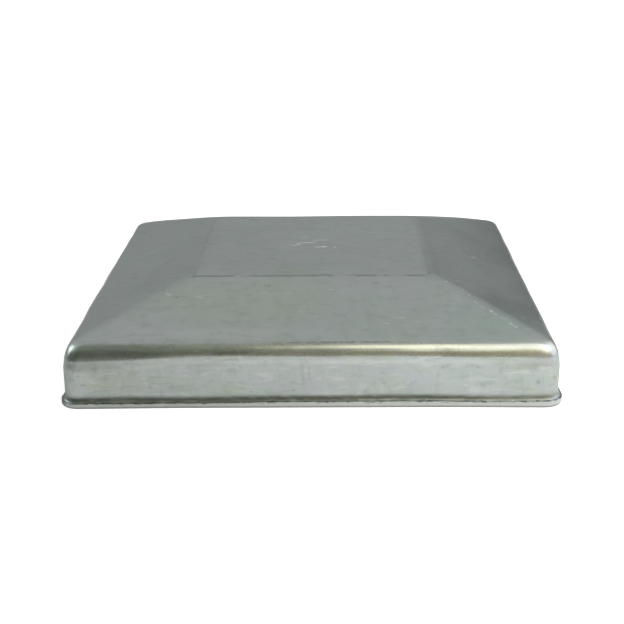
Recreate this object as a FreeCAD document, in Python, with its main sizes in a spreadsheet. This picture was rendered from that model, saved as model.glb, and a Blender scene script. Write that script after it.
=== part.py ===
"""Square post cap: one steel sheet, drawn to a shallow hipped pyramid with a flat top.

Frame: +Z up, origin at the middle of the open mouth, in the plane that the trimmed rim rests on.
The four sides face -X, +X, -Y and +Y. Lengths are millimetres.
"""
import FreeCAD, Part
import Sketcher
import math
import os

DOC = FreeCAD.newDocument("post_cap")

# Driving dimensions. Everything else follows from these.
SIZES = {
    "PostSide": 100.0,       # width of the square post that the cap covers
    "PostPlay": 0.5,         # gap between the post and the skirt, on each side
    "SheetGauge": 1.2,       # thickness of the steel sheet
    "CornerRadius": 3.5,     # outside corner radius of the skirt, seen from above
    "EaveHeight": 13.0,      # from the rim to where the skirt and slope planes would meet
    "CrownRise": 8.0,        # from there up to the flat top
    "PlateauSide": 53.0,     # width of the flat top
    "PlateauCorner": 2.0,    # corner radius of the flat top, seen from above
    "EaveBend": 3.2,         # outside radius of the bend between skirt and slope
    "PlateauBend": 2.5,      # outside radius of the bend between slope and flat top
    "LipReach": 0.8,         # how far the trimmed rim stands out from the skirt
    "LipEdge": 1.2,          # height of the rim's cut edge
    "LipFlare": 0.7,         # hollow radius from the skirt out to the rim
    "MouthLead": 1.0,        # rounding of the inside edge of the mouth
}

# Sizes that follow from the driving dimensions, as spreadsheet expressions.
SKIRT_SIDE = "(Sizes.PostSide + 2 * (Sizes.PostPlay + Sizes.SheetGauge))"
RIM_SIDE = f"({SKIRT_SIDE} + 2 * Sizes.LipReach)"
TOP_HEIGHT = "(Sizes.EaveHeight + Sizes.CrownRise)"
SLOPE = f"atan(2 * Sizes.CrownRise / ({SKIRT_SIDE} - Sizes.PlateauSide))"

# Inside, every face lies one gauge in from the outside, so the rings of bends draw in and down.
MOUTH_SIDE = "(Sizes.PostSide + 2 * Sizes.PostPlay)"
INNER_CORNER = "(Sizes.CornerRadius - Sizes.SheetGauge)"
INNER_EAVE = f"(Sizes.EaveHeight - Sizes.SheetGauge * (1 - sin({SLOPE})) / cos({SLOPE}))"
INNER_TOP = f"({TOP_HEIGHT} - Sizes.SheetGauge)"
PLATEAU_INSET = f"(Sizes.SheetGauge * tan({SLOPE} / 2))"
INNER_PLATEAU = f"(Sizes.PlateauSide - 2 * {PLATEAU_INSET})"
INNER_PLATEAU_CORNER = f"(Sizes.PlateauCorner - {PLATEAU_INSET})"

CLOSE = 1e-4                 # how near two lengths must be to count as the same


def make_sheet():
    """Put the driving dimensions in a spreadsheet, one alias a row."""
    sheet = DOC.addObject("Spreadsheet::Sheet", "Sizes")
    for row, (alias, value) in enumerate(SIZES.items(), start=1):
        sheet.set(f"A{row}", alias)
        sheet.set(f"B{row}", str(value))
        sheet.setAlias(f"B{row}", alias)
    DOC.recompute()


def number(expression):
    """Work out an expression on the spreadsheet's cells."""
    value = DOC.getObject("Sizes").evalExpression(expression)
    return float(getattr(value, "Value", value))


def add_sketch(body, name, height):
    """Add a level sketch to the body, at a height given as an expression."""
    sketch = body.newObject("Sketcher::SketchObject", name)
    level = next(item for item in body.Origin.OriginFeatures if item.Role == "XY_Plane")
    sketch.AttachmentSupport = [(level, "")]
    sketch.MapMode = "FlatFace"
    sketch.setExpression("AttachmentOffset.Base.z", height)
    return sketch


def draw_rounded_square(sketch, side, radius):
    """Draw a square with round corners about the sketch's origin; both sizes are expressions."""
    half = number(side) / 2
    corner = number(radius)
    up = FreeCAD.Vector(0, 0, 1)
    for quarter in range(4):
        turn = FreeCAD.Rotation(up, 90 * quarter)
        start = turn.multVec(FreeCAD.Vector(corner - half, -half, 0))
        end = turn.multVec(FreeCAD.Vector(half - corner, -half, 0))
        centre = turn.multVec(FreeCAD.Vector(half - corner, corner - half, 0))
        begin = math.radians(90 * quarter - 90)
        circle = Part.Circle(centre, up, corner)
        sketch.addGeometry(Part.LineSegment(start, end), False)
        sketch.addGeometry(Part.ArcOfCircle(circle, begin, begin + math.pi / 2), False)

    # Lines have even numbers and arcs odd ones, in order round the square.
    front, right, back, left = range(0, 8, 2)
    first_arc = front + 1
    for line in (front, right, back, left):
        arc = line + 1
        sketch.addConstraint(Sketcher.Constraint("Tangent", line, 2, arc, 1))
        sketch.addConstraint(Sketcher.Constraint("Tangent", arc, 2, (line + 2) % 8, 1))
        if arc != first_arc:
            sketch.addConstraint(Sketcher.Constraint("Equal", first_arc, arc))
    sketch.addConstraint(Sketcher.Constraint("Vertical", right))
    sketch.addConstraint(Sketcher.Constraint("Horizontal", back))
    sketch.addConstraint(Sketcher.Constraint("Symmetric", front, 1, front, 2, -2))
    sketch.addConstraint(Sketcher.Constraint("Symmetric", left, 1, left, 2, -1))

    driving = (
        ("width", Sketcher.Constraint("DistanceX", left, 1, right, 1, 2 * half), side),
        ("depth", Sketcher.Constraint("DistanceY", front, 1, back, 1, 2 * half), side),
        ("corner", Sketcher.Constraint("Radius", first_arc, corner), radius),
    )
    for name, constraint, expression in driving:
        index = sketch.addConstraint(constraint)
        sketch.renameConstraint(index, name)
        sketch.setExpression(f"Constraints.{name}", expression)


def add_slab(body, name, side, radius, thickness):
    """Pad a rounded square up from the rim plane."""
    outline = add_sketch(body, f"{name}_outline", "0")
    draw_rounded_square(outline, side, radius)
    slab = body.newObject("PartDesign::Pad", name)
    slab.Profile = outline
    slab.setExpression("Length", thickness)


def add_crown(body, name, eave, top):
    """Loft from the eave ring to the ring round the flat top; a ring is height, side and radius."""
    rings = []
    for level, (height, side, radius) in (("eave", eave), ("top", top)):
        ring = add_sketch(body, f"{name}_{level}_outline", height)
        draw_rounded_square(ring, side, radius)
        rings.append(ring)
    crown = body.newObject("PartDesign::AdditiveLoft", name)
    crown.Profile = rings[0]
    crown.Sections = [rings[1]]
    crown.Ruled = True


def ring_edges(feature, height, side):
    """Name the feature's level edges that outline a square of one width, at one height."""
    names = []
    for index, edge in enumerate(feature.Shape.Edges, start=1):
        box = edge.BoundBox
        reach = max(abs(box.XMin), abs(box.XMax), abs(box.YMin), abs(box.YMax))
        is_level = abs(box.ZMin - height) < CLOSE and abs(box.ZMax - height) < CLOSE
        if is_level and abs(reach - side / 2) < CLOSE:
            names.append(f"Edge{index}")
    return names


def add_bend(body, name, height, side, radius):
    """Round the ring of edges at a height and width; all three sizes are expressions."""
    DOC.recompute()
    base = body.Tip
    bend = body.newObject("PartDesign::Fillet", name)
    bend.Base = (base, ring_edges(base, number(height), number(side)))
    bend.setExpression("Radius", radius)
    DOC.recompute()


def make_hollow():
    """Make the space under the sheet, which leaves the sheet one gauge thick all over."""
    body = DOC.addObject("PartDesign::Body", "hollow")
    add_slab(body, "hollow_skirt", MOUTH_SIDE, INNER_CORNER, INNER_EAVE)
    add_crown(body, "hollow_crown", (INNER_EAVE, MOUTH_SIDE, INNER_CORNER),
              (INNER_TOP, INNER_PLATEAU, INNER_PLATEAU_CORNER))
    add_bend(body, "hollow_eave", INNER_EAVE, MOUTH_SIDE, "Sizes.EaveBend - Sizes.SheetGauge")
    add_bend(body, "hollow_top", INNER_TOP, INNER_PLATEAU, "Sizes.PlateauBend - Sizes.SheetGauge")
    return body


def make_cap_shell():
    """Make the drawn sheet: skirt, sloping crown, flat top and the lip left where it was trimmed."""
    body = DOC.addObject("PartDesign::Body", "cap_shell")
    body.Label = "cap_shell"
    body.Placement = FreeCAD.Placement()
    add_slab(body, "skirt", SKIRT_SIDE, "Sizes.CornerRadius", "Sizes.EaveHeight")
    add_crown(body, "crown", ("Sizes.EaveHeight", SKIRT_SIDE, "Sizes.CornerRadius"),
              (TOP_HEIGHT, "Sizes.PlateauSide", "Sizes.PlateauCorner"))
    add_bend(body, "eave_bend", "Sizes.EaveHeight", SKIRT_SIDE, "Sizes.EaveBend")
    add_bend(body, "plateau_bend", TOP_HEIGHT, "Sizes.PlateauSide", "Sizes.PlateauBend")
    add_slab(body, "lip", RIM_SIDE, "Sizes.CornerRadius + Sizes.LipReach", "Sizes.LipEdge")
    add_bend(body, "lip_flare", "Sizes.LipEdge", SKIRT_SIDE, "Sizes.LipFlare")

    solid = body.Tip
    hollow = make_hollow()
    mouth = body.newObject("PartDesign::Boolean", "mouth")
    mouth.Type = "Cut"
    mouth.setObjects([hollow])
    DOC.recompute()
    removed = solid.Shape.Volume - mouth.Shape.Volume
    if abs(removed - hollow.Shape.Volume) > 1:
        raise RuntimeError("the hollow doesn't lie wholly inside the cap")
    add_bend(body, "mouth_lead", "0", MOUTH_SIDE, "Sizes.MouthLead")
    return body


def check(sub_parts):
    """Stop unless every object recomputed and every sub-part is one valid solid."""
    for item in DOC.Objects:
        if "Invalid" in item.State or "Error" in item.State:
            raise RuntimeError(f"{item.Name} failed: {item.State}")
    for item in sub_parts:
        if item.Shape.isNull() or not item.Shape.isValid() or len(item.Shape.Solids) != 1:
            raise RuntimeError(f"{item.Label} isn't one valid solid")


def main():
    """Build the cap, check it and write its STEP file."""
    make_sheet()
    sub_parts = [make_cap_shell()]
    DOC.recompute()
    check(sub_parts)
    os.makedirs("parts", exist_ok=True)
    for item in sub_parts:
        item.Shape.exportStep(f"parts/{item.Label}.step")
        print(item.Label, "volume", round(item.Shape.Volume), "mm3")


main()
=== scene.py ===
"""Square post cap in bare pressed steel: the visual model, a plain studio and the camera.

The cap stands on the floor at z = 0, open side down, with its four sides facing -X, +X, -Y and +Y.
Lengths are millimetres unless a comment says metres; MM turns them into the scene's metres.
"""
import bpy
import math
import numpy as np
from mathutils import Matrix, Vector

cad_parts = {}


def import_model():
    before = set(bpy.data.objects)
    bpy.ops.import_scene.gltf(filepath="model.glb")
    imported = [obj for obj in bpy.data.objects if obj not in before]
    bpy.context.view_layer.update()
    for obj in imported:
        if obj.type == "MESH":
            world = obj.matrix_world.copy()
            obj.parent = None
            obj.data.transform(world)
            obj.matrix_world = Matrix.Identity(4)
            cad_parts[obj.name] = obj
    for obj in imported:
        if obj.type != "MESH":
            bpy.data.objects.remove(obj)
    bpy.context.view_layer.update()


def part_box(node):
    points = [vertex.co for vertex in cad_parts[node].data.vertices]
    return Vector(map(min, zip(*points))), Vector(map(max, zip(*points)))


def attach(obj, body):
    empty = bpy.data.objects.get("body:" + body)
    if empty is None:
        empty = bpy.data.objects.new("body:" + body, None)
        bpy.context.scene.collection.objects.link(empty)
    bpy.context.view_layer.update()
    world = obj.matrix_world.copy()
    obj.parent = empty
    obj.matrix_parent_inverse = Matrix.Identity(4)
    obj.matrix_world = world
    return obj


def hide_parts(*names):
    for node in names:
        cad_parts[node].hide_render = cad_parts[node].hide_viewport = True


MM = 0.001

# The sheet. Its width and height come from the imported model.
GAUGE = 1.2
LIP_REACH = 0.8              # how far the trimmed rim stands out from the skirt
LIP_EDGE = 1.2               # height of the rim's cut edge
RIDGE_DROP = 0.2             # how far below that the cut face starts, under the torn ridge
LIP_FLARE = 1.6              # height of the hollow between the skirt and the rim
ROLLOVER = 0.50              # rounding of the cut edge's lower corner
PLATEAU_HALF = 26.5          # half the width of the flat top
PLATEAU_CORNER = 4.0         # corner radius of the flat top, seen from above
PLATEAU_BEND = 12.0          # outside radius of the bend between flat top and slope
INNER_TIGHTEN = 0.6          # share of the gauge by which the inside of that bend is tighter
SKIRT_CORNER = 3.4           # corner radius of the skirt, seen from above
EAVE_HEIGHT = 13.0           # height at which the planes of skirt and slope would meet
EAVE_BEND = 3.2              # outside radius of the bend between slope and skirt
MOUTH_LEAD = 1.0             # rounding of the mouth's inside edge

# What pressing and trimming do to the plain shape.
SLOPE_CROWN = 0.22           # how far the middle of each slope stands above a flat plane
BOW = 0.15                   # how far the sides' middles are drawn in relative to their ends
BOW_INWARD = 0.75            # share of the bow that lies inside the plain side
CORNER_SWELL = 0.28          # how far the skirt's corners stand out below the eave
TRIM_STEP = 0.28             # how much higher the lip's top is on the right than on the left
TUCK = 0.10                  # how far the skirt leans in where it meets the eave
TUCK_REACH = 2.2             # how far below the eave bend that starts
EAVE_DROOP = 0.52            # how much lower the eave bend ends at the corners
DROOP_LEAN = 0.60            # share by which that is more on the left and less on the right
TRIM_WAVE = 0.05             # how far the lip's top wanders up and down
BURR = 0.07                  # height of the torn ridge round the lip
BURR_LEAN = 0.7              # share of that by which the ridge stands outward too
TEAR_DEPTH = 0.02            # depth of the torn stretch at the top of the cut face

# Ripples in the outside: height, wavelength and seed. Those of the ridge are shares of the burr.
CROWN_RIPPLES = ((0.045, 34, 11),)
WALL_RIPPLES = ((0.05, 21, 12), (0.016, 8, 13))
EAVE_RIPPLES = ((0.028, 15, 14), (0.008, 6, 15))
RIDGE_RIPPLES = ((0.6, 2.6, 17), (0.4, 1.3, 18))

# Rings of faces from the middle of the plateau out to the rim, by stretch of the section.
RINGS = {"plateau": 36, "plateau_bend": 7, "slope": 33, "eave_bend": 18, "skirt": 14,
         "flare": 11, "ridge": 4, "cut": 8, "rollover": 5}
INNER_RINGS = {"plateau": 17, "plateau_bend": 2, "slope": 18, "eave_bend": 9, "skirt": 12}
OUTER_COUNT = sum(RINGS.values())
INNER_COUNT = OUTER_COUNT // 2


def ring_span(stretch):
    """First and last ring of a stretch of the section."""
    names = list(RINGS)
    first = sum(RINGS[name] for name in names[:names.index(stretch)])
    return first, first + RINGS[stretch]


# Shapes -------------------------------------------------------------------------------------------

def arc(centre, radius, start, end, steps):
    """Points on an arc in the section plane, angles in degrees, without its first point."""
    angles = np.radians(np.linspace(start, end, steps + 1)[1:])
    return np.c_[centre[0] + radius * np.cos(angles), centre[1] + radius * np.sin(angles)]


def line(start, end, steps):
    """Evenly spaced points on a straight stretch, without its first point."""
    share = np.linspace(0, 1, steps + 1)[1:, None]
    return np.asarray(start) * (1 - share) + np.asarray(end) * share


def smooth_step(value, low, high):
    """0 below low, 1 above high and smooth between; high may be the smaller."""
    share = np.clip((value - low) / (high - low), 0, 1)
    return share * share * (3 - 2 * share)


def ripple(points, wavelength, seed, waves=32):
    """Smooth noise of about unit height, made of seeded plane waves."""
    random = np.random.default_rng(seed)
    heading = random.normal(size=(waves, 3))
    heading /= np.linalg.norm(heading, axis=1)[:, None]
    pitch = 2 * math.pi / (wavelength * random.uniform(0.7, 1.5, waves))
    phase = random.uniform(0, 2 * math.pi, waves)
    return np.sin(points @ (heading * pitch[:, None]).T + phase).sum(1) * math.sqrt(2 / waves)


def ripples(points, table, base=0.0):
    """The sum of a table's ripples at each point, on top of a base."""
    return sum((height * ripple(points, wavelength, seed) for height, wavelength, seed in table), base)


class Section:
    """The cap's half section: x is half the width of the square there, y is the height."""

    def __init__(self, rim_half, top):
        self.rim = rim_half
        self.skirt = rim_half - LIP_REACH
        self.top = top
        self.slope = math.atan((top - EAVE_HEIGHT) / (self.skirt - PLATEAU_HALF))

    def crown(self, inset, rings):
        """Plateau, bend, slope and eave bend, on a surface that lies some way into the sheet."""
        tilt = math.degrees(self.slope)
        half_tilt = math.tan(self.slope / 2)
        top = self.top - inset
        bend = PLATEAU_BEND - inset * INNER_TIGHTEN
        flat_end = PLATEAU_HALF - (inset + bend) * half_tilt
        eave_bend = EAVE_BEND - inset
        wall = self.skirt - inset
        turn = (1 - math.sin(self.slope)) / math.cos(self.slope)
        eave_centre = (wall - eave_bend, EAVE_HEIGHT - inset * turn - eave_bend * turn)
        slope_end = (eave_centre[0] + eave_bend * math.sin(self.slope),
                     eave_centre[1] + eave_bend * math.cos(self.slope))

        flat = line((0, top), (flat_end, top), rings["plateau"])
        plateau_bend = arc((flat_end, top - bend), bend, 90, 90 - tilt, rings["plateau_bend"])
        slope = line(plateau_bend[-1], slope_end, rings["slope"])
        share = np.linspace(0, 1, rings["slope"] + 1)[1:]
        slope[:, 1] += SLOPE_CROWN * 4 * share * (1 - share)
        eave = arc(eave_centre, eave_bend, 90 - tilt, 0, rings["eave_bend"])
        return np.vstack([[(0, top)], flat, plateau_bend, slope, eave])

    def outside(self):
        """From the middle of the plateau to the rim's lower outer edge."""
        crown = self.crown(0, RINGS)
        flare_top = LIP_EDGE + LIP_FLARE
        skirt = line(crown[-1], (self.skirt, flare_top), RINGS["skirt"])
        skirt[:, 0] -= TUCK * smooth_step(skirt[:, 1], crown[-1][1] - TUCK_REACH, crown[-1][1])
        crown[-RINGS["eave_bend"]:, 0] -= TUCK * np.linspace(0, 1, RINGS["eave_bend"])
        turn = np.linspace(0, math.pi / 2, RINGS["flare"] + 1)[1:]
        flare = np.c_[self.skirt + LIP_REACH * (1 - np.cos(turn)), flare_top - LIP_FLARE * np.sin(turn)]
        ridge = line(flare[-1], (self.rim, LIP_EDGE - RIDGE_DROP), RINGS["ridge"])
        cut = line(ridge[-1], (self.rim, ROLLOVER), RINGS["cut"])
        rollover = arc((self.rim - ROLLOVER, ROLLOVER), ROLLOVER, 0, -90, RINGS["rollover"])
        return np.vstack([crown, skirt, flare, ridge, cut, rollover])

    def inside(self):
        """From the middle of the plateau's underside to the rim's lower inner edge."""
        crown = self.crown(GAUGE, INNER_RINGS)
        wall = self.skirt - GAUGE
        skirt = line(crown[-1], (wall, MOUTH_LEAD), INNER_RINGS["skirt"])
        steps = INNER_COUNT - sum(INNER_RINGS.values())
        lead = arc((wall + MOUTH_LEAD, MOUTH_LEAD), MOUTH_LEAD, 180, 270, steps)
        return np.vstack([crown, skirt, lead])

    def corner(self, half):
        """Corner radius of the outside at a half width."""
        share = np.clip((half - PLATEAU_HALF) / (self.skirt - PLATEAU_HALF), 0, 1)
        outer = PLATEAU_CORNER + (SKIRT_CORNER - PLATEAU_CORNER) * share
        inner = half / PLATEAU_HALF * PLATEAU_CORNER
        return np.where(half < PLATEAU_HALF, inner, outer) + np.clip(half - self.skirt, 0, None)

    def inner_corner(self, half):
        """Corner radius of the inside, one gauge tighter at the skirt."""
        tighter = GAUGE * smooth_step(half, PLATEAU_HALF, self.skirt - GAUGE)
        return np.clip(self.corner(half) - tighter, 0, None)


def square_rings(points, corner):
    """Wrap a half section round the square. Returns a (2n+1) x (2n+1) grid of points."""
    count = len(points) - 1
    column, row = np.meshgrid(np.arange(-count, count + 1), np.arange(-count, count + 1))
    ring = np.maximum(abs(column), abs(row))
    half = points[ring, 0]
    radius = corner[ring]
    flat = half - radius
    quarter = radius * math.pi / 4
    front = row == -ring
    right = ~front & (column == ring)
    back = ~front & ~right & (row == ring)
    along = np.select([front, right, back], [column, row, -column], -row) / np.maximum(ring, 1)
    reach = along * (flat + quarter)
    past = np.clip(abs(reach) - flat, 0, None) / np.maximum(radius, 1e-9)
    side = np.where(past > 0, np.sign(reach) * (flat + radius * np.sin(past)), reach)
    out = np.where(past > 0, flat + radius * np.cos(past), half)
    x = np.select([front, right, back], [side, out, -side], -out)
    y = np.select([front, right, back], [-out, side, out], -side)
    return np.stack([x, y, points[ring, 1]], axis=-1), ring


def grid_normals(grid):
    """Unit normals of a grid of points, facing up and out."""
    along = np.gradient(grid, axis=1)
    across = np.gradient(grid, axis=0)
    normal = np.cross(along, across)
    return normal / np.maximum(np.linalg.norm(normal, axis=-1), 1e-12)[..., None]


def rim_order(count):
    """Grid places of the outermost ring, in order round the square from its front left corner."""
    span = np.arange(2 * count)
    last = np.full(2 * count, 2 * count)
    zero = np.zeros(2 * count, int)
    rows = np.concatenate([zero, span, last, last - span])
    columns = np.concatenate([span, last, last - span, zero])
    return rows * (2 * count + 1) + columns


def grid_faces(count, first, flipped):
    """Quads of a (2n+1) x (2n+1) grid whose vertices start at a number."""
    size = 2 * count + 1
    corner = np.arange(size * size).reshape(size, size)
    quads = np.stack([corner[:-1, :-1], corner[:-1, 1:], corner[1:, 1:], corner[1:, :-1]], -1)
    quads = quads.reshape(-1, 4) + first
    return quads[:, ::-1] if flipped else quads


def rim_faces(first_inner):
    """Triangles that join the outside to the inside, two outer edges to each inner one."""
    outer = rim_order(OUTER_COUNT)
    inner = rim_order(INNER_COUNT) + first_inner
    after = np.roll(inner, -1)
    start, middle, end = outer[0::2], outer[1::2], np.roll(outer[0::2], -1)
    return np.vstack([np.c_[inner, middle, start], np.c_[inner, after, middle],
                      np.c_[after, end, middle]])


# Pressing, trimming and handling ------------------------------------------------------------------

def press(points, skirt):
    """Draw in the middles of the four sides and swell the skirt's corners below the eave."""
    pressed = points.copy()
    reach = np.maximum(abs(points[:, 0]), abs(points[:, 1]))
    edge = smooth_step(reach, 10, skirt - 3)
    below = smooth_step(points[:, 2], EAVE_HEIGHT - 0.5, EAVE_HEIGHT - 5)
    for axis, along in ((0, 1), (1, 0)):
        out = points[:, axis] / skirt
        share = points[:, along] / skirt
        sag = BOW * (share ** 2 - BOW_INWARD) * edge
        swell = CORNER_SWELL * below * smooth_step(abs(share), 0.5, 1.0)
        pressed[:, axis] += np.sign(out) * smooth_step(abs(out), 0.2, 1.0) * (sag + swell)
    return pressed


def near_ring(ring, middle, width):
    """A bell over a few rings each side of a middle ring."""
    return np.exp(-((ring - middle) / width) ** 2)


def work_outside(points, normals, ring, skirt):
    """Give the outside its waviness, the lip's uneven top and the torn ridge above the cut."""
    eave_start, eave_end = ring_span("eave_bend")
    flare_start, _ = ring_span("flare")
    ridge_start, ridge_end = ring_span("ridge")
    cut_start, cut_end = ring_span("cut")
    worked = points.copy()

    crown = smooth_step(ring, eave_start, eave_start - 12)
    walls = smooth_step(ring, eave_start, eave_end) * smooth_step(ring, cut_start, flare_start)
    eave = near_ring(ring, (eave_start + eave_end) / 2, 9)
    swing = (ripples(points, CROWN_RIPPLES) * crown + ripples(points, WALL_RIPPLES) * walls
             + ripples(points, EAVE_RIPPLES) * eave)
    worked += normals * swing[:, None]

    droop = smooth_step(np.minimum(abs(points[:, 0]), abs(points[:, 1])), 15, 50)
    droop *= EAVE_DROOP * (1 - DROOP_LEAN * points[:, 0] / skirt)
    worked[:, 2] -= droop * near_ring(ring, eave_end - 3, 8)

    lip = smooth_step(ring, flare_start - 3, flare_start + 3) * smooth_step(ring, cut_end, cut_start)
    step = TRIM_STEP * smooth_step(points[:, 0], -22, -4)
    worked[:, 2] += lip * (TRIM_WAVE * ripple(points, 30, 16) + step)

    ridge = near_ring(ring, (ridge_start + ridge_end) / 2, 2.2)
    teeth = np.clip(ripples(points, RIDGE_RIPPLES, 0.25), 0, 1.8)
    outward = points * (abs(points) > skirt - 3)
    outward[:, 2] = 0
    outward /= np.maximum(np.linalg.norm(outward, axis=1), 1e-9)[:, None]
    worked += outward * (BURR * BURR_LEAN * ridge * teeth)[:, None]
    worked[:, 2] += BURR * ridge * teeth

    torn = smooth_step(ring, cut_start + 4 + 1.5 * ripple(points, 7, 19), cut_start)
    cut = (ring >= ridge_end) & (ring <= cut_end)
    tear = TEAR_DEPTH * cut * torn * (1 + 0.5 * ripple(points, 1.1, 20))
    worked -= outward * tear[:, None]
    return worked


def ring_masks(ring, points):
    """Vertex masks that tell the steel's material which stretch it is on, and where it gets a painted
    highlight or painted shade.
    """
    x, y = points[:, 0], points[:, 1]
    left = smooth_step(x, 5, -30)
    left_end = smooth_step(x, -50.8, -52.2)
    right = smooth_step(x, -14, 16)
    right_end = smooth_step(x, 30, 40)
    right_corner = smooth_step(x, 41, 49)
    front = smooth_step(y, -30, -44)
    eave_start, eave_end = ring_span("eave_bend")
    flare_start, flare_end = ring_span("flare")
    ridge_start, ridge_end = ring_span("ridge")
    foot_start, _ = ring_span("rollover")

    # Painted highlight: a lighter colour on the upper eave bend of the front's right half and round the
    # right corner, where the lamps' reflection falls.
    painted_highlight = near_ring(ring, eave_start + 6 + 2 * right_corner, 4.5 + 5 * right_corner)
    # Painted shade in the hollow above the lip, a little weaker on the left and much weaker at the right
    # end.
    crease = smooth_step(ring, flare_start - 1, flare_start + 4)
    crease *= smooth_step(ring, ridge_start + 3, ridge_start)
    # Painted shade: darkens the rounded lower corner of the cut edge, where the floor's contact shade
    # falls, and the lip's left end (end_shade).
    painted_foot_shade = 0.6 * smooth_step(ring, foot_start - 2, foot_start + 1)
    end_shade = 0.9 * left_end * smooth_step(ring, ridge_start, ridge_end)
    return {
        "eave": near_ring(ring, (eave_start + eave_end) / 2, 9),
        "painted_highlight": painted_highlight * right * front,
        "skirt": smooth_step(ring, eave_start, eave_end) * smooth_step(ring, flare_end, flare_start),
        "crease": crease * (0.88 - 0.10 * left - 0.35 * right_end),
        "ridge": near_ring(ring, ridge_start + 0.5, 6.0),
        # Painted shade: the cut face's lighter colour is made weaker towards the left.
        "cut": smooth_step(ring, ridge_start + 1, ridge_end + 4) * (1 - 0.45 * left),
        "painted_foot_shade": np.maximum(painted_foot_shade, end_shade),
    }


def make_cap(section):
    """Build the sheet as one closed mesh, outside and inside, with its masks."""
    outside = section.outside()
    inside = section.inside()
    grid, ring = square_rings(outside, section.corner(outside[:, 0]))
    outer = press(grid.reshape(-1, 3), section.skirt)
    normals = grid_normals(outer.reshape(grid.shape)).reshape(-1, 3)
    ring = ring.reshape(-1)
    outer = work_outside(outer, normals, ring, section.skirt)
    inner_grid, _ = square_rings(inside, section.inner_corner(inside[:, 0]))
    inner = press(inner_grid.reshape(-1, 3), section.skirt)

    faces = grid_faces(OUTER_COUNT, 0, False).tolist()
    faces += grid_faces(INNER_COUNT, len(outer), True).tolist()
    faces += rim_faces(len(outer)).tolist()
    mesh = bpy.data.meshes.new("cap_sheet")
    mesh.from_pydata((np.vstack([outer, inner]) * MM).tolist(), [], faces)
    mesh.polygons.foreach_set("use_smooth", [True] * len(mesh.polygons))
    masks = ring_masks(ring, outer)
    for name, mask in masks.items():
        values = np.concatenate([mask, np.zeros(len(inner))])
        mesh.attributes.new(name, "FLOAT", "POINT").data.foreach_set("value", values)
    hidden = np.concatenate([np.zeros(len(outer)), np.ones(len(inner))])
    mesh.attributes.new("underside", "FLOAT", "POINT").data.foreach_set("value", hidden)
    mesh.update()
    return mesh


# Nodes --------------------------------------------------------------------------------------------

class Nodes:
    """Short calls for the shader nodes used here. A value may be a number, a tuple or a socket."""

    def __init__(self, tree):
        self.tree = tree

    def add(self, kind, values, output=0, **settings):
        node = self.tree.nodes.new(kind)
        for name, setting in settings.items():
            setattr(node, name, setting)
        for place, value in values.items():
            if isinstance(value, bpy.types.NodeSocket):
                self.tree.links.new(value, node.inputs[place])
            else:
                node.inputs[place].default_value = value
        return node.outputs[output]

    def maths(self, operation, first, second=0.0, clamp=False):
        return self.add("ShaderNodeMath", {0: first, 1: second}, operation=operation, use_clamp=clamp)

    def add_weighted(self, total, parts):
        """Add each part times its weight to a total."""
        for part, weight in parts:
            total = self.maths("ADD", total, self.maths("MULTIPLY", part, weight))
        return total

    def noise(self, vector, scale, detail=2.0, roughness=0.5, distortion=0.0):
        values = {"Vector": vector, "Scale": scale, "Detail": detail, "Roughness": roughness,
                  "Distortion": distortion}
        return self.add("ShaderNodeTexNoise", values)

    def remap(self, value, low, high, to_low=0.0, to_high=1.0):
        values = {"Value": value, "From Min": low, "From Max": high, "To Min": to_low, "To Max": to_high}
        return self.add("ShaderNodeMapRange", values, interpolation_type="SMOOTHSTEP")

    def mix(self, share, first, second, blend="MIX"):
        """Mix two colours; sockets 6 and 7 are the colour inputs of the Mix node."""
        return self.add("ShaderNodeMix", {0: share, 6: first, 7: second}, output=2,
                        data_type="RGBA", blend_type=blend)

    def place(self, vector, location=(0, 0, 0), turn=(0, 0, 0), scale=(1, 1, 1)):
        """Move, turn and scale a coordinate the way a texture is placed."""
        values = {"Vector": vector, "Location": location, "Rotation": turn, "Scale": scale}
        return self.add("ShaderNodeMapping", values, vector_type="TEXTURE")

    def stretch(self, vector, scale, turn=(0, 0, 0)):
        """Scale a coordinate after turning it."""
        values = {"Vector": vector, "Rotation": turn, "Scale": scale}
        return self.add("ShaderNodeMapping", values, vector_type="POINT")

    def mask(self, name):
        return self.add("ShaderNodeAttribute", {}, output="Fac", attribute_name=name)


# The steel's surface ------------------------------------------------------------------------------

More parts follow.
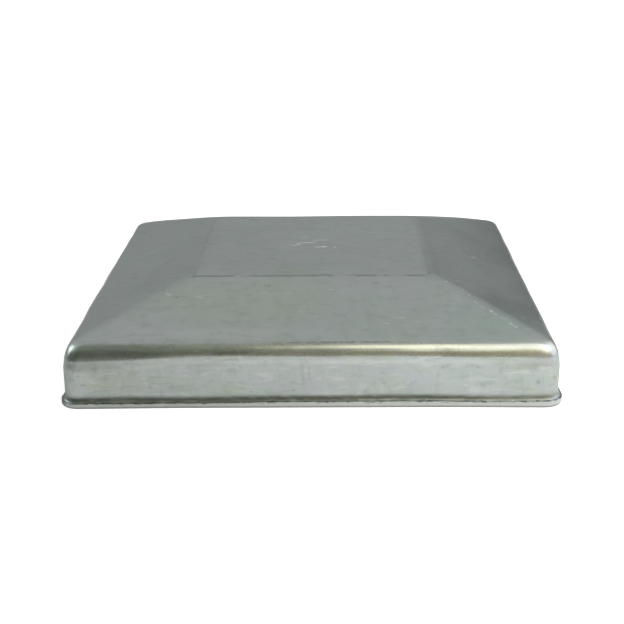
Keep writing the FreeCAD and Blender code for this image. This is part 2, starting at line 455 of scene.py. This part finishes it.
# Marks on the sheet, among them a painted highlight and a painted dark reflection: middle of the stroke,
# its length, width, heading in degrees and strength.
# On the crown a stroke lies in plan; on the front of the skirt it lies in elevation.
CROWN_SCUFFS = (
    (-4.6, -1.9, 21.0, 1.6, 0.9, 2, 0.8),
    (-1.5, 0.6, 21.0, 5.8, 0.9, 7, 0.7),
    (-3.6, -0.8, 21.0, 1.5, 1.5, 60, 0.6),
    (1.6, 2.8, 21.0, 5.6, 0.9, 6, 0.5),
    (1.9, -3.1, 21.0, 4.0, 1.0, 8, 0.7),
    (2.6, -3.0, 21.0, 1.5, 1.4, 20, 1.0),
    (-2.1, 5.2, 21.0, 3.0, 0.8, 16, 0.3),
    (5.2, -3.2, 21.0, 1.4, 0.8, -60, 0.6),
    (14.4, 9.4, 21.0, 3.4, 0.7, 20, 0.3),
    (29.9, -28.0, 19.7, 0.8, 0.8, 0, 0.6),
    (32.4, -30.5, 18.8, 0.9, 0.4, -20, 0.35),
    (33.4, -31.3, 18.6, 1.2, 0.6, -45, 0.45),
    (34.4, -33.5, 18.3, 0.8, 0.7, 0, 0.6),
    (35.5, -36.4, 17.6, 1.9, 0.5, -56, 0.45),
    (36.9, -38.3, 17.2, 2.2, 0.4, -44, 0.35),
    (38.5, -39.6, 16.7, 1.4, 0.9, -60, 0.50),
    (39.3, -40.6, 16.4, 1.3, 0.4, -40, 0.50),
    (40.8, -42.0, 16.0, 2.4, 0.4, -15, 0.40),
    (42.2, -43.9, 15.3, 1.5, 0.7, -52, 0.45),
    (43.0, -44.9, 15.0, 1.3, 0.5, -30, 0.50),
    (45.6, -38.6, 14.9, 1.2, 0.7, -30, 0.5),
    (49.9, -34.9, 13.5, 0.7, 1.0, 0, 0.8),
    (39.0, -0.6, 16.9, 1.9, 1.0, 0, 0.8),
    (42.3, 4.2, 15.9, 1.9, 0.8, -40, 0.4),
    (-31.3, -33.3, 18.7, 2.2, 0.7, -30, 0.30),
    (-24.4, -34.6, 18.2, 2.4, 0.6, -8, 0.30),
)
CROWN_SMUDGES_AND_DARK_REFLECTION = (
    (-9.4, -13.0, 21.0, 2.6, 1.0, 0, 0.45),
    (-6.8, -12.0, 21.0, 1.6, 1.0, 10, 0.35),
    (-9.8, -30.4, 19.6, 2.4, 1.4, -10, 0.30),
    (14.1, -29.5, 19.8, 2.8, 1.4, 0, 0.25),
    (-29.4, -34.9, 18.2, 1.8, 1.2, 30, 0.40),
    (-1.4, 2.1, 21.0, 4.6, 0.9, 4, 0.25),
    (2.0, -5.0, 21.0, 3.6, 0.9, 10, 0.20),
    # Not a smudge: a painted dark reflection, a thin dark line along the top of the front eave.
    (6.5, -49.6, 13.6, 40.0, 0.8, 0, 0.45),
)
SKIRT_SMUDGES = (
    (27.8, -52.0, 9.0, 3.0, 0.9, 20, 0.40),
    (34.4, -52.0, 9.0, 4.2, 1.1, -12, 0.35),
    (15.3, -52.0, 5.3, 1.8, 1.0, 0, 0.40),
    (47.1, -52.0, 5.6, 1.8, 1.6, 40, 0.35),
    (35.4, -52.0, 5.0, 2.6, 1.6, -30, 0.30),
    (50.4, -51.0, 6.3, 1.2, 1.6, 0, 0.60),
    (-48.6, -52.0, 8.3, 3.6, 1.3, 14, 0.45),
    (-49.8, -51.4, 6.2, 2.6, 1.8, -40, 0.30),
    (-47.4, -52.0, 5.2, 1.8, 0.8, 10, 0.45),
    (-41.4, -52.0, 7.4, 3.4, 0.6, 4, 0.30),
    (-44.6, -52.0, 8.6, 1.6, 2.2, 20, 0.30),
    (-23.3, -52.0, 7.7, 1.4, 2.4, -25, 0.30),
)
SKIRT_SCUFFS_AND_HIGHLIGHT = (
    # Not a scuff: a painted highlight, a broken light strip along the top of the front skirt.
    (6.0, -52.0, 10.0, 120.0, 1.7, 0, 0.22),
    (-48.9, -51.9, 4.6, 1.8, 4.2, 8, 0.16),
    (-18.5, -52.0, 8.6, 3.0, 1.4, 0, 0.12),
    (-42.0, -52.0, 4.2, 5.0, 0.7, -4, 0.10),
    (-48.5, -52.0, 7.0, 9.0, 12.0, 0, 0.14),
    (20.5, -52.0, 5.6, 4.0, 1.6, 30, 0.10),
)

# Films of dried oil on the crown and the eave, and a lighter tone over the whole right slope: colour and
# soft strokes, as above.
OIL_FILMS = (
    ((0.450, 0.510, 0.440, 1), ((-15.0, -36.0, 18.0, 66.0, 34.0, 0, 0.9),
                                (-6.0, -23.0, 21.0, 24.0, 9.0, 0, 0.6))),
    ((0.425, 0.515, 0.480, 1), ((38.0, -42.0, 16.0, 36.0, 17.0, -20, 0.9),
                                (16.0, 16.0, 21.0, 44.0, 22.0, 0, 0.5))),
    ((0.560, 0.600, 0.580, 1), ((-18.0, -46.8, 14.6, 64.0, 5.5, 0, 0.6),)),
    # Makes the whole right slope lighter.
    ((0.600, 0.645, 0.635, 1), ((33.0, 2.0, 18.5, 24.0, 96.0, 0, 0.9),)),
    ((0.505, 0.492, 0.440, 1), ((2.0, -51.0, 12.5, 96.0, 7.0, 0, 0.85),)),
)
FILM_DEPTH = 6               # how far a film's stroke reaches to each side of its own level

# Linear colours of the steel's surface.
GREEN_FILM = (0.450, 0.512, 0.485, 1)
LILAC_FILM = (0.475, 0.512, 0.508, 1)
STEEL_PALE = (0.515, 0.575, 0.560, 1)
STEEL_DARK = (0.360, 0.405, 0.385, 1)
# Colour of the painted highlight on the front eave.
PAINTED_HIGHLIGHT_STEEL = (0.655, 0.685, 0.650, 1)
STEEL_BRIGHT = (0.95, 0.97, 0.96, 1)
STEEL_CUT = (0.70, 0.71, 0.71, 1)
WIPE_PALE = (0.60, 0.63, 0.63, 1)
WIPE_GREEN = (0.470, 0.520, 0.460, 1)
WIPE_BLUE = (0.485, 0.515, 0.540, 1)
# Dark colour of real dirt, smudges, specks and the die line, also used for painted shade in the crease
# and at the rim's lower edge and for a painted dark reflection on the eave.
DIRT_AND_SHADE = (0.115, 0.130, 0.138, 1)

# Wipes on the skirt: noise scale per axis, turn in radians, level where a streak starts,
# strength and colour.
WIPES = (
    ((0.10, 0.10, 0.22), (0.0, 0.3, 0.0), 0.50, 0.8, WIPE_GREEN),
    ((0.13, 0.13, 0.25), (0.2, -0.5, 0.9), 0.52, 0.8, WIPE_BLUE),
    ((0.16, 0.16, 0.75), (0.0, 0.05, 0.0), 0.54, 0.5, STEEL_DARK),
    ((0.14, 0.14, 0.70), (0.3, -0.06, 0.4), 0.54, 0.6, WIPE_PALE),
    ((0.50, 0.50, 0.20), (0.0, 0.5, 0.0), 0.56, 0.4, STEEL_DARK),
    ((0.30, 0.30, 0.14), (0.3, -0.15, 0.0), 0.56, 0.3, WIPE_PALE),
)

# How strongly each layer covers what is under it.
DIE_LINE_SHARE = 0.42
CUT_SHARE = 0.9
DIRT_AND_SHADE_SHARE = 0.85

# Roughness: its range where the oil was wiped, and what each mask adds to it.
ROUGH_LOW = 0.33
ROUGH_HIGH = 0.40
ROUGH_GRAIN = 0.04
ROUGH_EAVE = -0.13           # the die ironed the eave smoother
ROUGH_CUT = 0.20
ROUGH_UNDERSIDE = 0.12
ROUGH_MARKS = -0.03

# Relief too fine for the mesh, as heights.
RELIEF_GRAIN = 0.0005
RELIEF_DRAW = 0.0016         # draw marks down the skirt
RELIEF_MARKS = -0.01
RELIEF_TORN = 0.03

HAIRLINE_HEADINGS = (24, -61)        # degrees
HAIRLINE_LEVEL = 0.72                # level of the noise at which a hairline starts


def strokes(nodes, place, table, upright, edge, depth=1.5):
    """The marks of one table as a mask; the nearer edge is to 1, the softer they are."""
    marks = None
    for x, y, z, length, width, heading, strength in table:
        turn = math.radians(heading)
        spin = (0, -turn, 0) if upright else (0, 0, turn)
        reach = (length / 2, depth, width / 2) if upright else (length / 2, width / 2, depth)
        stroke = nodes.place(place, location=(x, y, z), turn=spin, scale=reach)
        ball = nodes.add("ShaderNodeTexGradient", {"Vector": stroke}, output="Fac",
                         gradient_type="SPHERICAL")
        mark = nodes.remap(ball, 0.0, edge, 0.0, strength)
        marks = nodes.maths("MAXIMUM", marks, mark) if marks else mark
    return marks


def hairlines(nodes, place, heading):
    """Sparse fine scratches that run one way, as a mask."""
    drawn = nodes.stretch(place, (0.22, 3.6, 0.6), turn=(0, 0, math.radians(heading)))
    lines = nodes.noise(drawn, 1.0, detail=1, distortion=0.3)
    lines = nodes.remap(lines, HAIRLINE_LEVEL, HAIRLINE_LEVEL + 0.05)
    patches = nodes.noise(place, 0.09, detail=2)
    return nodes.maths("MULTIPLY", lines, nodes.remap(patches, 0.48, 0.62))


def wipes(nodes, place, stretch, turn, low):
    """Soft streaks across the skirt where the draw oil was wiped, as a mask."""
    drawn = nodes.stretch(place, stretch, turn=turn)
    streaks = nodes.noise(drawn, 1.0, detail=3, roughness=0.6, distortion=0.8)
    return nodes.remap(streaks, low, low + 0.14)


def die_line(nodes, place):
    """The broken line that the die's edge left round the flat top, as a mask."""
    reach = [nodes.maths("ABSOLUTE", nodes.add("ShaderNodeSeparateXYZ", {"Vector": place}, output=axis))
             for axis in ("X", "Y")]
    inset = nodes.maths("SUBTRACT", nodes.maths("MAXIMUM", *reach), PLATEAU_HALF - 0.1)
    wander = nodes.maths("MULTIPLY", nodes.maths("SUBTRACT", nodes.noise(place, 0.4), 0.5), 0.6)
    away = nodes.maths("ABSOLUTE", nodes.maths("ADD", inset, wander))
    turned = nodes.stretch(place, (1, 1, 1), turn=(0, 0, 0.4))
    gaps = nodes.remap(nodes.noise(turned, 0.17, detail=4), 0.40, 0.56)
    depth = nodes.add("ShaderNodeSeparateXYZ", {"Vector": place}, output="Y")
    front = nodes.remap(depth, -22, -PLATEAU_HALF + 0.6, 0.25, 1.0)
    line = nodes.maths("MULTIPLY", nodes.remap(away, 0.75, 0.2), gaps)
    return nodes.maths("MULTIPLY", line, front)


def scuffs_and_highlight(nodes, place, skirt):
    """Bright broken scuffs, a painted highlight strip along the top of the front skirt, and hairline
    scratches on the crown, as a mask.
    """
    scratches = nodes.maths("MAXIMUM", *(hairlines(nodes, place, heading)
                                         for heading in HAIRLINE_HEADINGS))
    scratches = nodes.maths("MULTIPLY", scratches, nodes.maths("SUBTRACT", 0.5, skirt, clamp=True))
    gaps = nodes.remap(nodes.noise(nodes.stretch(place, (0.8, 3.0, 1.0)), 1.6), 0.24, 0.44)
    knocks_and_highlight = nodes.maths("MAXIMUM", strokes(nodes, place, CROWN_SCUFFS, False, 0.35),
                         strokes(nodes, place, SKIRT_SCUFFS_AND_HIGHLIGHT, True, 0.9))
    return nodes.maths("MAXIMUM", nodes.maths("MULTIPLY", knocks_and_highlight, gaps), scratches)


def smudges_and_dark_reflection(nodes, place):
    """Greasy smudges with uneven edges, and a painted dark reflection along the top of the front eave,
    as a mask.
    """
    smudges = nodes.maths("MAXIMUM", strokes(nodes, place, CROWN_SMUDGES_AND_DARK_REFLECTION, False, 0.6),
                          strokes(nodes, place, SKIRT_SMUDGES, True, 0.9))
    return nodes.maths("MULTIPLY", smudges, nodes.remap(nodes.noise(place, 1.1, detail=3), 0.3, 0.6))


def specks_and_flecks(nodes, place):
    """Dark specks and bright flecks, many along the torn ridge and few elsewhere, as two masks."""
    speckle = nodes.noise(nodes.stretch(place, (0.55, 0.55, 2.2)), 1.0, detail=3, roughness=0.7)
    sparse = nodes.maths("MULTIPLY", nodes.maths("SUBTRACT", 1.0, nodes.mask("ridge")), 0.24)
    specks = nodes.remap(nodes.maths("SUBTRACT", speckle, sparse), 0.46, 0.54)
    flecks = nodes.remap(nodes.maths("ADD", speckle, sparse), 0.42, 0.34, 0.0, 0.7)
    return specks, flecks


def painted_crease_shade(nodes, place):
    """Painted shade: the uneven dark line in the hollow above the lip, as a mask."""
    drawn = nodes.stretch(place, (0.4, 0.4, 1.6))
    uneven = nodes.remap(nodes.noise(drawn, 1.0, detail=3), 0.34, 0.56, 0.65, 1.0)
    return nodes.maths("MULTIPLY", nodes.mask("crease"), uneven)


def steel_colour(nodes, place, skirt, marks, dirt_and_shade, cut):
    """Grey steel with green and lilac films, oil stains and bright scuffs, with painted highlights on
    the front eave and along the top of the front skirt, a painted dark reflection on the eave, and
    painted shade in the crease and along the rim's lower edge.
    """
    film = nodes.noise(nodes.stretch(place, (1, 1, 1.6)), 0.075, detail=4, roughness=0.6, distortion=0.6)
    colour = nodes.mix(nodes.remap(film, 0.42, 0.56), GREEN_FILM, LILAC_FILM)
    crown = nodes.maths("SUBTRACT", 1.0, skirt)
    for shade, table in OIL_FILMS:
        share = nodes.maths("MULTIPLY", strokes(nodes, place, table, False, 0.9, FILM_DEPTH), crown)
        colour = nodes.mix(share, colour, shade)
    cloud = nodes.noise(place, 0.2, detail=3, roughness=0.6)
    colour = nodes.mix(nodes.remap(cloud, 0.35, 0.65, 0.0, 0.4), colour, STEEL_PALE)
    blotch = nodes.noise(nodes.stretch(place, (0.6, 1, 1.3)), 0.6, detail=1, roughness=0.5)
    colour = nodes.mix(nodes.remap(blotch, 0.55, 0.72, 0.0, 0.35), colour, STEEL_DARK)
    # Painted highlight on the front eave.
    colour = nodes.mix(nodes.mask("painted_highlight"), colour, PAINTED_HIGHLIGHT_STEEL)
    for stretch, turn, low, strength, shade in WIPES:
        share = nodes.maths("MULTIPLY", wipes(nodes, place, stretch, turn, low), skirt)
        colour = nodes.mix(nodes.maths("MULTIPLY", share, strength), colour, shade)
    pressed = nodes.maths("MULTIPLY", die_line(nodes, place), DIE_LINE_SHARE)
    # The die line, greasy smudges and the painted dark reflection on the eave.
    colour = nodes.mix(nodes.maths("MAXIMUM", pressed, smudges_and_dark_reflection(nodes, place)), colour, DIRT_AND_SHADE)
    colour = nodes.mix(nodes.maths("MULTIPLY", cut, CUT_SHARE), colour, STEEL_CUT)
    # Bright scuffs and flecks, and the painted highlight strip along the top of the front skirt.
    colour = nodes.mix(marks, colour, STEEL_BRIGHT)
    # Real dark specks, with painted shade in the crease and along the rim's lower edge.
    return nodes.mix(dirt_and_shade, colour, DIRT_AND_SHADE)


def steel_roughness(nodes, place, grain, marks, cut):
    """Satin, smoother on the eave and the scuffs, duller on the cut edge and underneath."""
    wiped = nodes.noise(nodes.stretch(place, (0.5, 0.5, 1.0), turn=(0.4, 0.3, 0.5)), 0.12, detail=3)
    rough = nodes.remap(wiped, 0.3, 0.7, ROUGH_LOW, ROUGH_HIGH)
    return nodes.add_weighted(rough, ((grain, ROUGH_GRAIN), (nodes.mask("eave"), ROUGH_EAVE),
                                      (cut, ROUGH_CUT), (nodes.mask("underside"), ROUGH_UNDERSIDE),
                                      (marks, ROUGH_MARKS)))


def steel_relief(nodes, place, grain, skirt, marks, cut):
    """Normals from the grain, the draw marks, the scuffs and the torn cut edge."""
    drawn = nodes.noise(nodes.stretch(place, (1.9, 1.9, 0.06)), 1.0, detail=3, roughness=0.6)
    torn = nodes.noise(nodes.stretch(place, (1.6, 1.6, 0.9)), 1.6, detail=3, roughness=0.7)
    draw_lines = nodes.maths("MULTIPLY", drawn, skirt)
    torn_edge = nodes.maths("MULTIPLY", torn, cut)
    height = nodes.add_weighted(0.0, ((grain, RELIEF_GRAIN), (draw_lines, RELIEF_DRAW),
                                      (marks, RELIEF_MARKS), (torn_edge, RELIEF_TORN)))
    return nodes.add("ShaderNodeBump", {"Height": height, "Distance": MM, "Strength": 1.0},
                     output="Normal")


def steel_material():
    """Bare cold-drawn sheet: satin, wiped, lightly scratched, with a sheared edge."""
    material = bpy.data.materials.new("bare_pressed_steel")
    material.use_nodes = True
    nodes = Nodes(material.node_tree)
    spot = nodes.add("ShaderNodeTexCoord", {}, output="Object")
    place = nodes.stretch(spot, (1 / MM, 1 / MM, 1 / MM))
    skirt = nodes.mask("skirt")
    cut = nodes.mask("cut")

    specks, flecks = specks_and_flecks(nodes, place)
    # Scuffs, flecks and the painted highlight strip on the skirt.
    marks = nodes.maths("MAXIMUM", scuffs_and_highlight(nodes, place, skirt), flecks)
    # Real specks on the ridge, then painted shade in the crease and along the rim's lower edge.
    dirt_and_shade = nodes.maths("MAXIMUM", specks, painted_crease_shade(nodes, place))
    dirt_and_shade = nodes.maths("MAXIMUM", dirt_and_shade, nodes.mask("painted_foot_shade"))
    dirt_and_shade = nodes.maths("MULTIPLY", dirt_and_shade, DIRT_AND_SHADE_SHARE)
    grain = nodes.maths("SUBTRACT", nodes.noise(place, 3.0, detail=2), 0.5)

    shader = material.node_tree.nodes["Principled BSDF"]
    shader.inputs["Metallic"].default_value = 1
    sockets = {
        "Base Color": steel_colour(nodes, place, skirt, marks, dirt_and_shade, cut),
        "Roughness": steel_roughness(nodes, place, grain, marks, cut),
        "Normal": steel_relief(nodes, place, grain, skirt, marks, cut),
    }
    for name, socket in sockets.items():
        material.node_tree.links.new(socket, shader.inputs[name])
    return material


# The studio ---------------------------------------------------------------------------------------

# The room seen from the cap: sine of elevation and brightness.
ROOM = ((-1.0, 0.50), (0.0, 0.36), (0.16, 0.405), (0.28, 0.467), (0.8, 0.585), (1.0, 0.545))

# Patches of the room: direction, half angles of the full and the faded part in degrees, colour.
PATCHES = (
    ((-0.33, 0.93, 0.10), 8, 26, (0.34, 0.345, 0.35)),
    ((0.52, 0.85, 0.06), 15, 31, (0.19, 0.20, 0.203)),
    ((0.30, -0.94, 0.15), 20, 50, (0.58, 0.49, 0.34)),
    ((-0.15, -0.05, 1.00), 8, 28, (0.40, 0.41, 0.37)),
    ((-0.27, -0.58, 0.76), 18, 44, (0.25, 0.265, 0.21)),
    ((-0.49, -0.85, 0.21), 20, 35, (0.10, 0.11, 0.09)),
    ((-0.95, -0.28, 0.08), 20, 36, (0.12, 0.13, 0.11)),
    ((-0.84, 0.26, 0.46), 6, 20, (2.2, 2.4, 2.3)),
    ((0.88, 0.16, 0.42), 16, 40, (1.4, 1.4, 1.4)),
)


def studio_world():
    """A pale room whose patches give the steel something to reflect; white to the camera."""
    world = bpy.data.worlds.new("studio")
    world.use_nodes = True
    nodes = Nodes(world.node_tree)
    heading = nodes.add("ShaderNodeTexCoord", {}, output="Generated")
    height = nodes.add("ShaderNodeSeparateXYZ", {"Vector": heading}, output="Z")
    room = None
    for (low, dim), (high, bright) in zip(ROOM, ROOM[1:]):
        step = nodes.add("ShaderNodeMapRange", {"Value": height, "From Min": low, "From Max": high,
                                                "To Min": 0.0 if room else dim,
                                                "To Max": bright - dim if room else bright})
        room = nodes.maths("ADD", room, step) if room else step
    colour = nodes.add("ShaderNodeCombineColor", {"Red": room, "Green": room, "Blue": room})
    for direction, full, faded, shade in PATCHES:
        towards = Vector(direction).normalized()
        facing = nodes.add("ShaderNodeVectorMath", {0: heading, 1: towards}, output="Value",
                           operation="DOT_PRODUCT")
        share = nodes.remap(facing, math.cos(math.radians(faded)), math.cos(math.radians(full)))
        colour = nodes.mix(share, colour, (*shade, 1))
    seen = nodes.add("ShaderNodeLightPath", {}, output="Is Camera Ray")
    colour = nodes.mix(seen, colour, (1, 1, 1, 1))
    world.node_tree.links.new(colour, world.node_tree.nodes["Background"].inputs["Color"])
    bpy.context.scene.world = world


FLOOR_HALF = 4.0             # metres
FLOOR_GAP = 0.03             # how far the floor lies below the rim
FLOOR_GREY = (0.55, 0.55, 0.55, 1)
FLOOR_ROUGHNESS = 0.8
FLOOR_LIFT = 0.75            # brightness that the floor has for the camera beyond what lights give it


def studio_floor():
    """A plain pale floor that takes a soft contact shadow."""
    mesh = bpy.data.meshes.new("floor")
    half = FLOOR_HALF
    level = -FLOOR_GAP * MM
    corners = [(-half, -half, level), (half, -half, level), (half, half, level), (-half, half, level)]
    mesh.from_pydata(corners, [], [(0, 1, 2, 3)])
    floor = bpy.data.objects.new("floor", mesh)
    bpy.context.scene.collection.objects.link(floor)
    material = bpy.data.materials.new("floor_paper")
    material.use_nodes = True
    nodes = Nodes(material.node_tree)
    shader = material.node_tree.nodes["Principled BSDF"]
    shader.inputs["Base Color"].default_value = FLOOR_GREY
    shader.inputs["Roughness"].default_value = FLOOR_ROUGHNESS
    shader.inputs["Specular IOR Level"].default_value = 0.0
    shader.inputs["Emission Color"].default_value = (1, 1, 1, 1)
    seen = nodes.add("ShaderNodeLightPath", {}, output="Is Camera Ray")
    lift = nodes.maths("MULTIPLY", seen, FLOOR_LIFT)
    material.node_tree.links.new(lift, shader.inputs["Emission Strength"])
    mesh.materials.append(material)


# Lights: two corners in plan and height in metres, radiance that the steel reflects, radiance that
# only the floor gets, and colour.
BOXES = (
    ("warm_box", (0.0, -0.24), (0.05, -0.085), 0.30, 1.60, 0.50, (1.0, 0.93, 0.68)),
    ("front_box", (0.05, -0.40), (0.45, -0.17), 0.30, 1.42, 0.78, (1.0, 0.93, 0.81)),
    ("middle_box", (0.05, -0.17), (0.11, -0.06), 0.30, 0.75, 0.35, (1.0, 0.93, 0.84)),
    ("right_box", (0.11, -0.17), (0.45, -0.02), 0.30, 1.50, 0.75, (1.0, 0.98, 0.95)),
    ("tan_box", (0.05, -0.54), (0.45, -0.40), 0.30, 0.58, 0.27, (1.0, 0.86, 0.56)),
)

# Lights that only the floor gets, so that the skirt has a bright floor to reflect: two corners in
# plan and height in metres, radiance and colour.
WASHES = (
    ("floor_wash", (0.05, -0.21), (0.21, -0.06), 0.16, 7.8, (0.95, 0.97, 1.0)),
    ("left_wash", (-0.07, -0.20), (0.05, -0.07), 0.20, 1.2, (1.0, 0.98, 0.97)),
)


def softbox(name, low, high, height, radiance, colour, reflected):
    """A level area light that covers a rectangle of the floor's plan, in metres."""
    light = bpy.data.lights.new(name, "AREA")
    light.shape = "RECTANGLE"
    light.size = high[0] - low[0]
    light.size_y = high[1] - low[1]
    light.energy = radiance * math.pi * light.size * light.size_y
    light.color = colour
    lamp = bpy.data.objects.new(name, light)
    lamp.location = ((low[0] + high[0]) / 2, (low[1] + high[1]) / 2, height)
    lamp.visible_camera = False
    lamp.visible_glossy = reflected
    bpy.context.scene.collection.objects.link(lamp)


def add_lights():
    """Each box as a light that the steel reflects and a twin for the floor, then the washes."""
    for name, low, high, height, seen, unseen, colour in BOXES:
        softbox(name, low, high, height, seen, colour, True)
        softbox(f"{name}_wash", low, high, height, unseen, colour, False)
    for name, low, high, height, radiance, colour in WASHES:
        softbox(name, low, high, height, radiance, colour, False)


CAMERA_PLACE = Vector((5.0, -284.5, 101.1))
CAMERA_AIM = Vector((-0.1, -21.2, 10.5))
CAMERA_LENS = 69.8
CAMERA_ROLL = -0.64          # degrees


def add_camera():
    """Look at the front from a little above and a little to the right."""
    camera = bpy.data.objects.new("camera", bpy.data.cameras.new("camera"))
    bpy.context.scene.collection.objects.link(camera)
    camera.data.lens = CAMERA_LENS
    camera.location = CAMERA_PLACE * MM
    turn = (CAMERA_AIM - CAMERA_PLACE).to_track_quat("-Z", "Y")
    roll = Matrix.Rotation(math.radians(CAMERA_ROLL), 4, "Z").to_quaternion()
    camera.rotation_mode = "QUATERNION"
    camera.rotation_quaternion = turn @ roll
    bpy.context.scene.camera = camera


def main():
    """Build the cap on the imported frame, then the studio and the camera."""
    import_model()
    low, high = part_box("cap_shell")
    section = Section((high.x - low.x) / 2 / MM, high.z / MM)
    mesh = make_cap(section)
    mesh.materials.append(steel_material())
    cap = bpy.data.objects.new("cap_sheet", mesh)
    bpy.context.scene.collection.objects.link(cap)
    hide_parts("cap_shell")
    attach(cap, "root")

    studio_floor()
    studio_world()
    add_lights()
    add_camera()
    bpy.context.scene.view_settings.view_transform = "Standard"


main()
